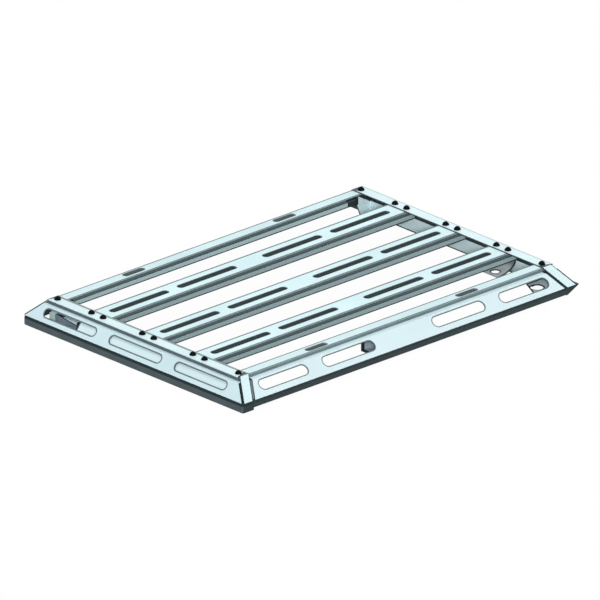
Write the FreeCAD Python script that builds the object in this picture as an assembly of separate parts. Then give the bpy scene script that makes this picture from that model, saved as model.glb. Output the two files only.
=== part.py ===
"""Roof basket: a flat rack of three slats in a frame with sloped, slotted sides and dark rubber skirts.

Millimetres. X runs along the length from front (-X) to rear (+X), Y across the width from right (-Y)
to left (+Y), Z up. The origin is the middle of the footprint, on the surface that the skirts stand on.
"""
import FreeCAD, Part
import math
import os

Vector = FreeCAD.Vector
ALONG = Vector(1, 0, 0)
ACROSS = Vector(0, 1, 0)
UP = Vector(0, 0, 1)

# Frame: plan size on the line where rails and sloped panels meet, and the levels
TOP_LENGTH = 1636.0
TOP_WIDTH = 1070.0
DECK_LEVEL = 110.0
SEAM_LEVEL = 106.0
SKIRT_LEVEL = 41.0
SHEET = 3.0

# Sloped panels
END_FLARE = 48.0
SIDE_FLARE = 72.0
LIP_DROP = 15.0
LIP_CLEARANCE = 2.0
END_SETBACK = 8.0
END_OVERHANG = 5.0
SIDE_SETBACK = 10.0
SIDE_OVERHANG = 2.5

# Corner strips: width between the middles of the two seams beside a strip
CORNER_WIDTH = 57.0
SEAM_GAP = 10.0
TAB_GAP = 1.0

# Slots in the panels, as places on the slope measured down from the seam line
SIDE_SLOT_MARGIN = 72.0
SIDE_SLOT_SPACE = 84.0
SIDE_SPACE_SHARE = 0.56
SIDE_BARE_MIDDLE = 306.0
SIDE_SLOT_HEIGHT = 42.0
SIDE_SLOT_MIDDLE = 49.0
END_SLOT_COUNT = 3
END_SLOT_MARGIN = 34.0
END_SLOT_SPACE = 80.0
END_SLOT_SHIFT = 12.0
END_SLOT_HEIGHT = 32.0
END_SLOT_MIDDLE = 42.0

# Liner behind the slots of the front panel: layer counts sheets in from the panel's outer face
LINER_LAYER = 2.0
LINER_HEIGHT = 44.0
LINER_MARGIN = 30.0
LINER_OPENING = 177.0

# End beams
FLANGE_WIDTH = 54.0
FLANGE_CLIP_LENGTH = 22.0
WEB_FOOT_LEVEL = 13.0
WEB_SIDE_MARGIN = 3.0

# Side rails
RAIL_WIDTH = 52.0
RAIL_HEIGHT = 37.0
RAIL_SLOT_LENGTH = 102.0
RAIL_SLOT_WIDTH = 22.0
RAIL_SLOT_SPACING = 780.0
RAIL_SLOT_INSET = 23.5

# Slats
SLAT_NAMES = ("right_slat", "middle_slat", "left_slat")
SLAT_PITCH = 280.0
SLAT_WIDTH = 106.0
SLAT_HEIGHT = 38.0
SLAT_SLOT_MARGIN = 87.0
SLAT_SLOT_SPACE = 55.0
SLAT_BARE_MIDDLE = 146.0
SLAT_SLOT_WIDTH = 28.0

# Grooves along the sides of rails and slats
GROOVE_HEIGHT = 14.0
GROOVE_DEPTH = 8.0

# Rubber skirts
SKIRT_THICKNESS = 12.0
SKIRT_NECK_HEIGHT = 10.0
SKIRT_NECK_DEPTH = 4.0
SKIRT_ROUND = 5.0
SKIRT_CORNER_ROUND = 10.0
SIDE_SKIRT_HEIGHT = 31.0
SKIRT_JOINT = 1.0
TAIL_OVERHANG = 8.0
TAIL_TIP_HEIGHT = 4.0
TAIL_RAKE = 56.0
TAIL_FOOT_WIDTH = 20.0
TAIL_FOOT_SETBACK = 20.0
TAIL_FOOT_INSET = 24.0

# Gussets behind the corner seams, and the bracket behind the bare middle of the right side
GUSSET_LEG = 66.0
GUSSET_OVERLAP = 9.0
GUSSET_FOOT_GAP = 2.0
BRACKET_LENGTH = 262.0
BRACKET_FOOT = 45.0
BRACKET_BOLT_SPACING = 150.0
BRACKET_BOLT_RADIUS = 4.5

# Legs on the inner sides of the rails, at the webs
LEG_WIDTH = 72.0
LEG_RAKE = 22.0
LEG_FOOT_LEVEL = 20.0

# Shelf in the rear right corner, level with the foot of the panels, with one round hole
SHELF_LENGTH = 84.0
SHELF_RAKE = 56.0
SHELF_CLEARANCE = 5.0
SHELF_HOLE_RADIUS = 25.0
SHELF_HOLE_SETBACK = 80.0
SHELF_HOLE_INSET = 57.5

# Round-edged plate under the right slat at the rear, and folded clip behind the left slot at the front
PLATE_LENGTH = 168.0
PLATE_REACH = 80.0
PLATE_LAP = 40.0
PLATE_MIDDLE_REACH = 56.0
PLATE_HOLE_RADIUS = 17.0
PLATE_HOLE_SETBACK = 34.0
PLATE_HOLE_REACH = 28.0
CLIP_LENGTH = 130.0
CLIP_SETBACK = 38.0
CLIP_TOP_DROP = 40.0
CLIP_HEIGHT = 26.0
CLIP_DEPTH = 14.0

# Worked-out sizes
HALF_LENGTH = TOP_LENGTH / 2
HALF_WIDTH = TOP_WIDTH / 2
PANEL_DROP = SEAM_LEVEL - SKIRT_LEVEL
PANEL_TOP = DECK_LEVEL - LIP_DROP
END_SLOPE = math.hypot(END_FLARE, PANEL_DROP)
SIDE_SLOPE = math.hypot(SIDE_FLARE, PANEL_DROP)
END_SHEET_RUN = SHEET * END_SLOPE / PANEL_DROP
SIDE_SHEET_RUN = SHEET * SIDE_SLOPE / PANEL_DROP
WEB_FACE = HALF_LENGTH - END_SETBACK
FLANGE_EDGE = WEB_FACE + END_OVERHANG
RAIL_FACE = HALF_WIDTH - SIDE_SETBACK
RAIL_EDGE = RAIL_FACE + SIDE_OVERHANG
MEMBER_LENGTH = 2 * (WEB_FACE - SHEET)
END_SLOT_PITCH = (TOP_WIDTH - 2 * END_SLOT_MARGIN + END_SLOT_SPACE) / END_SLOT_COUNT
END_SLOT_LENGTH = END_SLOT_PITCH - END_SLOT_SPACE
END_ROW_LEFT = HALF_WIDTH - END_SLOT_MARGIN + END_SLOT_SHIFT
SLAT_SLOT_LENGTH = (MEMBER_LENGTH - 2 * SLAT_SLOT_MARGIN - 2 * SLAT_SLOT_SPACE - SLAT_BARE_MIDDLE) / 4
SIDE_FOOT_LEVEL = SKIRT_LEVEL - SIDE_SKIRT_HEIGHT
SKIRT_REACH = HALF_LENGTH + END_FLARE
SKIRT_BREADTH = HALF_WIDTH + SIDE_FLARE
SLOT_CUT = 4 * SHEET


def block(x0, x1, y0, y1, z0, z1):
    """A box between two corners."""
    return Part.makeBox(x1 - x0, y1 - y0, z1 - z0, Vector(x0, y0, z0))


def face_of(points):
    """A flat face through a loop of points."""
    return Part.Face(Part.makePolygon(points + points[:1]))


def prism(points, along):
    """A flat outline pulled along a vector."""
    return face_of(points).extrude(along)


def six_sided(outer, inner):
    """A solid between two quadrilaterals whose matching edges lie in common planes."""
    faces = [face_of(outer), face_of(inner)]
    for i in range(4):
        j = (i + 1) % 4
        faces.append(face_of([outer[i], outer[j], inner[j], inner[i]]))
    solid = Part.makeSolid(Part.makeShell(faces))
    solid.fix(1e-6, 1e-6, 1e-6)
    if solid.Volume < 0:
        solid.reverse()
    return solid


def stadium(centre, along, across, length, height, depth):
    """A round-ended bar: straight ends along one direction, centred in depth on its own plane."""
    normal = along.cross(across)
    radius = height / 2
    half = length / 2 - radius
    start = centre - normal * (depth / 2)
    corners = [start - along * half - across * radius, start + along * half - across * radius,
               start + along * half + across * radius, start - along * half + across * radius]
    tips = [start + along * (half + radius), start - along * (half + radius)]
    edges = [Part.LineSegment(corners[0], corners[1]).toShape(),
             Part.Arc(corners[1], tips[0], corners[2]).toShape(),
             Part.LineSegment(corners[2], corners[3]).toShape(),
             Part.Arc(corners[3], tips[1], corners[0]).toShape()]
    return Part.Face(Part.Wire(edges)).extrude(normal * depth)


def mirrored_x(shape):
    """The same piece at the other end."""
    return shape.mirror(Vector(0, 0, 0), ALONG)


def mirrored_y(shape):
    """The same piece on the other side."""
    return shape.mirror(Vector(0, 0, 0), ACROSS)


def spread(count, pitch):
    """Places of a row of equal pitch, centred on zero."""
    return [(i - (count - 1) / 2) * pitch for i in range(count)]


# Sloped walls: each plane leans outwards from the seam line, and a layer counts sheets inwards from it

def end_reach(level, layer):
    """Distance of an end wall's plane from the middle at a level."""
    return HALF_LENGTH + END_FLARE * (SEAM_LEVEL - level) / PANEL_DROP - layer * END_SHEET_RUN


def side_reach(level, layer):
    """Distance of a side wall's plane from the middle at a level."""
    return HALF_WIDTH + SIDE_FLARE * (SEAM_LEVEL - level) / PANEL_DROP - layer * SIDE_SHEET_RUN


def end_wall(high, low, layer, trim_right, trim_left):
    """A stretch of the front wall between two levels, its ends trimmed back from the corners."""
    def loop(depth):
        return [Vector(-end_reach(high, depth), -side_reach(high, depth) + trim_right, high),
                Vector(-end_reach(high, depth), side_reach(high, depth) - trim_left, high),
                Vector(-end_reach(low, depth), side_reach(low, depth) - trim_left, low),
                Vector(-end_reach(low, depth), -side_reach(low, depth) + trim_right, low)]
    return six_sided(loop(layer), loop(layer + 1))


def side_wall(high, low, layer, from_front, from_rear):
    """A stretch of the right wall between two levels, between distances in from the two corner edges."""
    def loop(depth):
        return [Vector(-end_reach(high, depth) + from_front, -side_reach(high, depth), high),
                Vector(end_reach(high, depth) - from_rear, -side_reach(high, depth), high),
                Vector(end_reach(low, depth) - from_rear, -side_reach(low, depth), low),
                Vector(-end_reach(low, depth) + from_front, -side_reach(low, depth), low)]
    return six_sided(loop(layer), loop(layer + 1))


def end_slope_point(y, down):
    """A point on the front wall's outer plane, at a distance down the slope from the seam line."""
    share = down / END_SLOPE
    return Vector(-HALF_LENGTH - END_FLARE * share, y, SEAM_LEVEL - PANEL_DROP * share)


def side_slope_point(x, down):
    """A point on the right wall's outer plane, at a distance down the slope from the seam line."""
    share = down / SIDE_SLOPE
    return Vector(x, -HALF_WIDTH - SIDE_FLARE * share, SEAM_LEVEL - PANEL_DROP * share)


def make_front_panel():
    """Trapezoid sheet with three long slots and a lip turned in to the web."""
    panel = end_wall(PANEL_TOP, SKIRT_LEVEL, 0, SEAM_GAP / 2, SEAM_GAP / 2)
    under = PANEL_TOP - SHEET
    reach = side_reach(PANEL_TOP, 1) - LIP_CLEARANCE
    lip = prism([Vector(-end_reach(PANEL_TOP, 0.5), -reach, PANEL_TOP),
                 Vector(-end_reach(under, 0.5), -reach, under),
                 Vector(-WEB_FACE, -reach, under),
                 Vector(-WEB_FACE, -reach, PANEL_TOP)], ACROSS * (2 * reach))
    panel = panel.fuse(lip)
    down_slope = Vector(-END_FLARE, 0, -PANEL_DROP) / END_SLOPE
    for y in spread(END_SLOT_COUNT, END_SLOT_PITCH):
        centre = end_slope_point(y + END_SLOT_SHIFT, END_SLOT_MIDDLE)
        panel = panel.cut(stadium(centre, ACROSS, down_slope, END_SLOT_LENGTH, END_SLOT_HEIGHT, SLOT_CUT))
    return panel.removeSplitter()


def make_front_liner():
    """Sheet behind the front panel's slots, hung from its lip and open behind the end of the left slot."""
    high = PANEL_TOP - SHEET
    low = high - LINER_HEIGHT
    right = HALF_WIDTH - LINER_MARGIN
    left = END_ROW_LEFT - LINER_OPENING
    return end_wall(high, low, LINER_LAYER, 0, 0).common(block(-SKIRT_REACH, 0, -right, left, low, high))


def make_right_panel():
    """Long sheet with four slots, a bare middle and a lip turned in to the rail."""
    inset = CORNER_WIDTH + SEAM_GAP / 2
    panel = side_wall(PANEL_TOP, SKIRT_LEVEL, 0, inset, inset)
    under = PANEL_TOP - SHEET
    reach = end_reach(PANEL_TOP, 1) - inset - LIP_CLEARANCE
    lip = prism([Vector(-reach, -side_reach(PANEL_TOP, 0.5), PANEL_TOP),
                 Vector(-reach, -side_reach(under, 0.5), under),
                 Vector(-reach, -RAIL_FACE, under),
                 Vector(-reach, -RAIL_FACE, PANEL_TOP)], ALONG * (2 * reach))
    panel = panel.fuse(lip)
    down_slope = Vector(0, -SIDE_FLARE, -PANEL_DROP) / SIDE_SLOPE
    divide = SIDE_SPACE_SHARE * HALF_LENGTH
    stretches = [(SIDE_BARE_MIDDLE / 2, divide - SIDE_SLOT_SPACE / 2),
                 (divide + SIDE_SLOT_SPACE / 2, HALF_LENGTH - SIDE_SLOT_MARGIN)]
    for start, end in stretches:
        for x in spread(2, start + end):
            centre = side_slope_point(x, SIDE_SLOT_MIDDLE)
            panel = panel.cut(stadium(centre, ALONG, down_slope, end - start, SIDE_SLOT_HEIGHT, SLOT_CUT))
    return panel.removeSplitter()


def flange_plate(edge):
    """Flange of the front beam, its ends clipped back from an edge line over the rails."""
    inner = FLANGE_EDGE - FLANGE_WIDTH
    clipped = edge - FLANGE_CLIP_LENGTH
    return prism([Vector(-FLANGE_EDGE, -edge, DECK_LEVEL), Vector(-inner, -clipped, DECK_LEVEL),
                  Vector(-inner, clipped, DECK_LEVEL), Vector(-FLANGE_EDGE, edge, DECK_LEVEL)], UP * SHEET)


def make_front_right_corner():
    """Strip in the plane of the side panel, folded over on top into a tab beside the clipped flange."""
    high = DECK_LEVEL + SHEET
    whole = side_wall(high, SKIRT_LEVEL, 0, SEAM_GAP / 2, 0)
    strip = whole.cut(side_wall(high, SKIRT_LEVEL, 0, CORNER_WIDTH - SEAM_GAP / 2, 0))
    front = end_reach(high, 0) - SEAM_GAP / 2
    back = front - CORNER_WIDTH + SEAM_GAP
    tab = block(-front, -back, -side_reach(high, 0.5), -RAIL_EDGE + FLANGE_CLIP_LENGTH, DECK_LEVEL, high)
    rail_edge = block(-front, 0, -RAIL_EDGE - TAB_GAP, 0, SEAM_LEVEL, DECK_LEVEL)
    return strip.cut(rail_edge).fuse(tab).cut(flange_plate(RAIL_EDGE + TAB_GAP)).removeSplitter()


def make_front_right_gusset():
    """Folded angle behind the corner seams and under the lips, flat against both panels and the strip."""
    high = PANEL_TOP - SHEET
    low = SKIRT_LEVEL + GUSSET_FOOT_GAP
    end_leg = end_wall(high, low, 1, 0, 0).cut(end_wall(high, low, 1, GUSSET_LEG, 0))
    side_length = CORNER_WIDTH + SEAM_GAP / 2 + GUSSET_OVERLAP
    side_leg = side_wall(high, low, 1, 0, 0).cut(side_wall(high, low, 1, side_length, 0))
    return end_leg.fuse(side_leg).removeSplitter()


def make_front_beam():
    """Flange over the slat ends and a web down behind the front panel."""
    web_reach = RAIL_FACE - WEB_SIDE_MARGIN
    web = block(-WEB_FACE, -WEB_FACE + SHEET, -web_reach, web_reach, WEB_FOOT_LEVEL, DECK_LEVEL)
    return flange_plate(RAIL_EDGE).fuse(web).removeSplitter()


def grooved_section(left, left_web, left_foot, right, top, height):
    """Outer and inner outline of a rail or slat in the YZ plane.

    Under the top plate each side steps in to a web, and below the groove out again to a foot. The right
    side has the groove's depth, and the left side is given, so that it can also be flush.
    """
    foot = top - height
    under = top - SHEET
    ledge = under - GROOVE_HEIGHT
    right_web = right - GROOVE_DEPTH
    outer = [(left, top), (left, under), (left_web, under), (left_web, ledge), (left_foot, ledge),
             (left_foot, foot), (right, foot), (right, ledge), (right_web, ledge), (right_web, under),
             (right, under), (right, top)]
    shelf = ledge - SHEET
    floor = foot + SHEET
    inner = [(left_web + SHEET, under), (left_web + SHEET, shelf), (left_foot + SHEET, shelf),
             (left_foot + SHEET, floor), (right - SHEET, floor), (right - SHEET, shelf),
             (right_web - SHEET, shelf), (right_web - SHEET, under)]
    return outer, inner


def distinct(points):
    """The corners of a closed outline, without repeats and points in line with their neighbours."""
    kept = []
    for i, (y, z) in enumerate(points):
        before = points[i - 1]
        after = points[(i + 1) % len(points)]
        turn = (y - before[0]) * (after[1] - z) - (z - before[1]) * (after[0] - y)
        if abs(turn) > 1e-6:
            kept.append((y, z))
    return kept


def hollow_member(section):
    """A hollow section pulled between the two end webs."""
    start = -MEMBER_LENGTH / 2
    along = Vector(MEMBER_LENGTH, 0, 0)
    outer, cavity = [prism([Vector(start, y, z) for y, z in distinct(outline)], along) for outline in section]
    return outer.cut(cavity)


def make_right_rail():
    """Rail under the side seam: set back outside, grooved inside, with two tie-down slots."""
    inner = -RAIL_EDGE + RAIL_WIDTH
    rail = hollow_member(grooved_section(-RAIL_EDGE, -RAIL_FACE, -RAIL_FACE, inner, DECK_LEVEL, RAIL_HEIGHT))
    for x in spread(2, RAIL_SLOT_SPACING):
        centre = Vector(x, -RAIL_EDGE + RAIL_SLOT_INSET, DECK_LEVEL)
        rail = rail.cut(stadium(centre, ALONG, ACROSS, RAIL_SLOT_LENGTH, RAIL_SLOT_WIDTH, SLOT_CUT))
    return rail


def make_slat(y):
    """Hollow slat with a groove along each side and four long slots in its top."""
    left = y - SLAT_WIDTH / 2
    right = y + SLAT_WIDTH / 2
    slat = hollow_member(grooved_section(left, left + GROOVE_DEPTH, left, right, DECK_LEVEL, SLAT_HEIGHT))
    near = (SLAT_BARE_MIDDLE + SLAT_SLOT_LENGTH) / 2
    far = near + SLAT_SLOT_LENGTH + SLAT_SLOT_SPACE
    for x in (-far, -near, near, far):
        centre = Vector(x, y, DECK_LEVEL)
        slat = slat.cut(stadium(centre, ALONG, ACROSS, SLAT_SLOT_LENGTH, SLAT_SLOT_WIDTH, SLOT_CUT))
    return slat


def skirt_ring(foot):
    """Rubber band all round under the panels: a neck at the top, rounded corners and a rounded foot."""
    neck = SKIRT_LEVEL - SKIRT_NECK_HEIGHT
    body = block(-SKIRT_REACH, SKIRT_REACH, -SKIRT_BREADTH, SKIRT_BREADTH, foot, neck)
    upright = [edge for edge in body.Edges if edge.BoundBox.ZLength > SKIRT_ROUND]
    body = body.makeFillet(SKIRT_CORNER_ROUND, upright)
    lowest = [edge for edge in body.Edges if edge.BoundBox.ZMax < foot + 1e-3]
    body = body.makeFillet(SKIRT_ROUND, lowest)
    reach = SKIRT_REACH - SKIRT_NECK_DEPTH
    breadth = SKIRT_BREADTH - SKIRT_NECK_DEPTH
    band = body.fuse(block(-reach, reach, -breadth, breadth, neck, SKIRT_LEVEL))
    reach = SKIRT_REACH - SKIRT_THICKNESS
    breadth = SKIRT_BREADTH - SKIRT_THICKNESS
    return band.cut(block(-reach, reach, -breadth, breadth, foot, SKIRT_LEVEL))


def make_front_skirt():
    """Tall skirt under the front panel and the two corner strips beside it."""
    back = -SKIRT_REACH + CORNER_WIDTH
    stretch = block(-SKIRT_REACH, back, -SKIRT_BREADTH, SKIRT_BREADTH, 0.0, SKIRT_LEVEL)
    return skirt_ring(0.0).common(stretch)


def make_right_skirt():
    """Shorter skirt under the side panel."""
    reach = SKIRT_REACH - CORNER_WIDTH - SKIRT_JOINT
    stretch = block(-reach, reach, -SKIRT_BREADTH, 0.0, SIDE_FOOT_LEVEL, SKIRT_LEVEL)
    return skirt_ring(SIDE_FOOT_LEVEL).common(stretch)


def make_rear_skirt():
    """Hollow raked tail under the rear panel and its corner strips, on a foot set in from the sides."""
    heel = SKIRT_REACH - CORNER_WIDTH
    tip = SKIRT_REACH + TAIL_OVERHANG
    shoulder = SKIRT_LEVEL - TAIL_TIP_HEIGHT
    outline = [(heel, SKIRT_LEVEL), (tip, SKIRT_LEVEL), (tip, shoulder), (tip - TAIL_RAKE, SIDE_FOOT_LEVEL),
               (heel, SIDE_FOOT_LEVEL)]
    tail = prism([Vector(x, -SKIRT_BREADTH, z) for x, z in outline], ACROSS * (2 * SKIRT_BREADTH))
    rise = shoulder - SIDE_FOOT_LEVEL
    wall_run = SKIRT_THICKNESS * math.hypot(TAIL_RAKE, rise) / rise
    wide = SKIRT_BREADTH - SKIRT_THICKNESS
    room = block(heel, tip, -wide, wide, SIDE_FOOT_LEVEL + SKIRT_THICKNESS, SKIRT_LEVEL)
    tail = tail.cut(tail.translated(Vector(-wall_run, 0, 0)).common(room))
    wide = SKIRT_BREADTH - TAIL_FOOT_INSET
    foot_front = heel + TAIL_FOOT_SETBACK
    foot_rear = foot_front + TAIL_FOOT_WIDTH
    foot_top = SIDE_FOOT_LEVEL + SHEET + rise * (foot_rear - tip + TAIL_RAKE) / TAIL_RAKE
    foot = block(foot_front, foot_rear, -wide, wide, 0.0, foot_top)
    web_room = block(heel, WEB_FACE + SKIRT_JOINT, -wide, wide, 0.0, SKIRT_LEVEL)
    return tail.fuse(foot).cut(web_room).removeSplitter()


def make_right_bracket():
    """Folded bracket behind the bare middle of the side panel, with a bolted foot."""
    inner = RAIL_EDGE - RAIL_WIDTH
    half = BRACKET_LENGTH / 2
    plate = block(-half, half, -inner - SHEET, -inner, SIDE_FOOT_LEVEL, DECK_LEVEL - RAIL_HEIGHT)
    shelf = block(-half, half, -inner - BRACKET_FOOT, -inner, SIDE_FOOT_LEVEL, SIDE_FOOT_LEVEL + SHEET)
    bracket = plate.fuse(shelf)
    for x in spread(2, BRACKET_BOLT_SPACING):
        middle = inner + (BRACKET_FOOT + SHEET) / 2
        hole = Part.makeCylinder(BRACKET_BOLT_RADIUS, SLOT_CUT, Vector(x, -middle, SIDE_FOOT_LEVEL - SHEET))
        bracket = bracket.cut(hole)
    return bracket.removeSplitter()


def make_front_right_leg():
    """Plate against the inner side of the rail, raked below the rail to a narrow foot at the web."""
    web = -WEB_FACE + SHEET
    front = web + LEG_WIDTH
    outline = [(web, DECK_LEVEL - SHEET), (front, DECK_LEVEL - SHEET), (front, DECK_LEVEL - RAIL_HEIGHT),
               (front - LEG_RAKE, LEG_FOOT_LEVEL), (web, LEG_FOOT_LEVEL)]
    return prism([Vector(x, -RAIL_EDGE + RAIL_WIDTH, z) for x, z in outline], ACROSS * SHEET)


def make_rear_right_shelf():
    """Level plate between the leg, the web and the side, cut off aslant in front."""
    rear = WEB_FACE - SHEET
    front = rear - SHELF_LENGTH
    inner = RAIL_EDGE - RAIL_WIDTH
    outer = SKIRT_BREADTH - SKIRT_THICKNESS - SHELF_CLEARANCE
    outline = [(rear, -inner), (front, -inner), (front - SHELF_RAKE, -outer), (rear, -outer)]
    plate = prism([Vector(x, y, SKIRT_LEVEL) for x, y in outline], UP * SHEET)
    centre = Vector(rear - SHELF_HOLE_SETBACK, -inner - SHELF_HOLE_INSET, SKIRT_LEVEL - SHEET)
    return plate.cut(Part.makeCylinder(SHELF_HOLE_RADIUS, SLOT_CUT, centre))


def make_rear_plate():
    """Flat plate from the rear web along the underside of the right slat, with a curved edge and one hole."""
    rear = WEB_FACE - SHEET
    front = rear - PLATE_LENGTH
    slat_side = -SLAT_PITCH - SLAT_WIDTH / 2
    level = DECK_LEVEL - SLAT_HEIGHT - SHEET
    lap_front = Vector(front, slat_side + PLATE_LAP, level)
    lap_rear = Vector(rear, slat_side + PLATE_LAP, level)
    nose = Vector(front, slat_side - PLATE_REACH, level)
    bend = Vector(front + PLATE_LENGTH / 2, slat_side - PLATE_MIDDLE_REACH, level)
    tail = Vector(rear, slat_side, level)
    edges = [Part.LineSegment(lap_front, nose).toShape(),
             Part.Arc(nose, bend, tail).toShape(),
             Part.LineSegment(tail, lap_rear).toShape(),
             Part.LineSegment(lap_rear, lap_front).toShape()]
    plate = Part.Face(Part.Wire(edges)).extrude(UP * SHEET)
    centre = Vector(front + PLATE_HOLE_SETBACK, slat_side - PLATE_HOLE_REACH, level - SHEET)
    return plate.cut(Part.makeCylinder(PLATE_HOLE_RADIUS, SLOT_CUT, centre))


def make_front_clip():
    """Folded clip that stands off the front web behind the left slot of the front panel."""
    end = END_ROW_LEFT - CLIP_SETBACK
    start = end - CLIP_LENGTH
    top = DECK_LEVEL - CLIP_TOP_DROP
    far = -WEB_FACE - CLIP_DEPTH
    face = block(far, far + SHEET, start, end, top - CLIP_HEIGHT, top)
    shelf = block(far, -WEB_FACE, start, end, top - SHEET, top)
    return face.fuse(shelf).removeSplitter()


def build():
    """All pieces by name."""
    front_panel = make_front_panel()
    right_panel = make_right_panel()
    corner = make_front_right_corner()
    gusset = make_front_right_gusset()
    right_rail = make_right_rail()
    right_skirt = make_right_skirt()
    leg = make_front_right_leg()
    front_beam = make_front_beam()
    pieces = {
        "front_panel": front_panel,
        "rear_panel": mirrored_x(front_panel),
        "right_panel": right_panel,
        "left_panel": mirrored_y(right_panel),
        "front_right_corner": corner,
        "front_left_corner": mirrored_y(corner),
        "rear_right_corner": mirrored_x(corner),
        "rear_left_corner": mirrored_x(mirrored_y(corner)),
        "front_right_gusset": gusset,
        "front_left_gusset": mirrored_y(gusset),
        "rear_right_gusset": mirrored_x(gusset),
        "rear_left_gusset": mirrored_x(mirrored_y(gusset)),
        "front_liner": make_front_liner(),
        "front_beam": front_beam,
        "rear_beam": mirrored_x(front_beam),
        "right_rail": right_rail,
        "left_rail": mirrored_y(right_rail),
        "front_skirt": make_front_skirt(),
        "rear_skirt": make_rear_skirt(),
        "right_skirt": right_skirt,
        "left_skirt": mirrored_y(right_skirt),
        "front_right_leg": leg,
        "front_left_leg": mirrored_y(leg),
        "rear_right_leg": mirrored_x(leg),
        "rear_left_leg": mirrored_x(mirrored_y(leg)),
        "right_bracket": make_right_bracket(),
        "rear_right_shelf": make_rear_right_shelf(),
        "rear_plate": make_rear_plate(),
        "front_clip": make_front_clip(),
    }
    for name, y in zip(SLAT_NAMES, spread(len(SLAT_NAMES), SLAT_PITCH)):
        pieces[name] = make_slat(y)
    return pieces


os.makedirs("parts", exist_ok=True)
for name, shape in build().items():
    shape.exportStep(f"parts/{name}.step")
    print(name, shape.ShapeType, len(shape.Solids), shape.isValid(), round(shape.Volume / 1000.0, 1))
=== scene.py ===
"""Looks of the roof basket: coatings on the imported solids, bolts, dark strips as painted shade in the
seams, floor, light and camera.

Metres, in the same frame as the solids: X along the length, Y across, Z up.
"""
from collections import namedtuple
import math
import bmesh
import bpy
from mathutils import Matrix, Vector


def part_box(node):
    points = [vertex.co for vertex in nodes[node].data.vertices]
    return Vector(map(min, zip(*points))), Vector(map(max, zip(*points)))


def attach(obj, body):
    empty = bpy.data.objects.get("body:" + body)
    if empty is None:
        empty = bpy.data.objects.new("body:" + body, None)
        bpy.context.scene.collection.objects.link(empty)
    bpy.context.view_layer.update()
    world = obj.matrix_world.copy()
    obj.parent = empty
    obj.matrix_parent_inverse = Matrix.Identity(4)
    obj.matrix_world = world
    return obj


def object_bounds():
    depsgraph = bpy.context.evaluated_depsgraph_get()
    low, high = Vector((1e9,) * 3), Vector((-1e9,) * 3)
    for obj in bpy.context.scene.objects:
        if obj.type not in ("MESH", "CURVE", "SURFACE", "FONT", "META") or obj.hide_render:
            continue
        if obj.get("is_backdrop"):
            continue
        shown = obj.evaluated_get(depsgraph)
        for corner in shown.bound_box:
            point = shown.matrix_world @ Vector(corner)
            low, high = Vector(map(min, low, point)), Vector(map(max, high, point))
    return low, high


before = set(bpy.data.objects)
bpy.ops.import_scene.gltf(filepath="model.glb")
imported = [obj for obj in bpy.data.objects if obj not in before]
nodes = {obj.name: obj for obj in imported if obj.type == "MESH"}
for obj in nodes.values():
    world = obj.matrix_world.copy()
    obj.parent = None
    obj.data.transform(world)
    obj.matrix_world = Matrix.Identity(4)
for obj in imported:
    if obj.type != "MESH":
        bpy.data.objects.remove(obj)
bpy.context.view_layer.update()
scene = bpy.context.scene

UP = Vector((0.0, 0.0, 1.0))
ENDS = (("front", -1.0), ("rear", 1.0))
SIDES = (("right", -1.0), ("left", 1.0))
SLATS = ("right_slat", "middle_slat", "left_slat")

# Camera: parallel projection, as in the picture
CAMERA_RIGHT = Vector((0.7293, -0.6842, 0.0)).normalized()
CAMERA_ELEVATION = math.radians(22.6)
METRES_PER_PIXEL = 0.00378
IMAGE_SIZE = 600
REFERENCE_POINT = Vector((-0.818, -0.535, 0.106))
REFERENCE_PIXEL = (239.2, 379.8)
CAMERA_DISTANCE = 6.0
CAMERA_CLIP_END = 60.0

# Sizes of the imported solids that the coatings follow
SHEET = 0.003
HALF_LENGTH = 0.818
HALF_WIDTH = 0.535
SEAM_LEVEL = 0.106
PANEL_DROP = 0.065
END_LEAN = 0.048 / PANEL_DROP
SIDE_LEAN = 0.072 / PANEL_DROP
SEAM_GAP = 0.010
CORNER_WIDTH = 0.057
WEB_FACE = 0.810
RAIL_FACE = 0.525
FLANGE_CLIP = 0.022 / 0.054
LEG_KNEE_LEVEL = 0.073
LEG_RAKE = 0.022
SHELF_RAKE = 0.056
SHELF_HOLE = (0.727, -0.533)
SHELF_HOLE_RADIUS = 0.025
PLATE_HOLE = (0.673, -0.361)
PLATE_HOLE_RADIUS = 0.017
PLATE_ARC_CENTRE = (0.598, -0.1105)
PLATE_ARC_RADIUS = 0.30527

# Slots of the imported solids
END_SLOT_COUNT = 3
END_SLOT_MARGIN = 0.034
END_SLOT_SPACE = 0.080
END_SLOT_RADIUS = 0.016
END_SLOT_SHIFT = 0.012
END_SLOT_DOWN = 0.042
SIDE_SLOT_MARGIN = 0.072
SIDE_SLOT_SPACE = 0.084
SIDE_SPACE_SHARE = 0.56
SIDE_BARE_MIDDLE = 0.306
SIDE_SLOT_RADIUS = 0.021
SIDE_SLOT_DOWN = 0.049
SLAT_BARE_MIDDLE = 0.146
SLAT_SLOT_LENGTH = 0.296
SLAT_SLOT_SPACE = 0.055
SLAT_SLOT_RADIUS = 0.014
RAIL_SLOT_MIDDLE = 0.390
RAIL_SLOT_LENGTH = 0.102
RAIL_SLOT_RADIUS = 0.011
RAIL_SLOT_INSET = 0.0235

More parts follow.
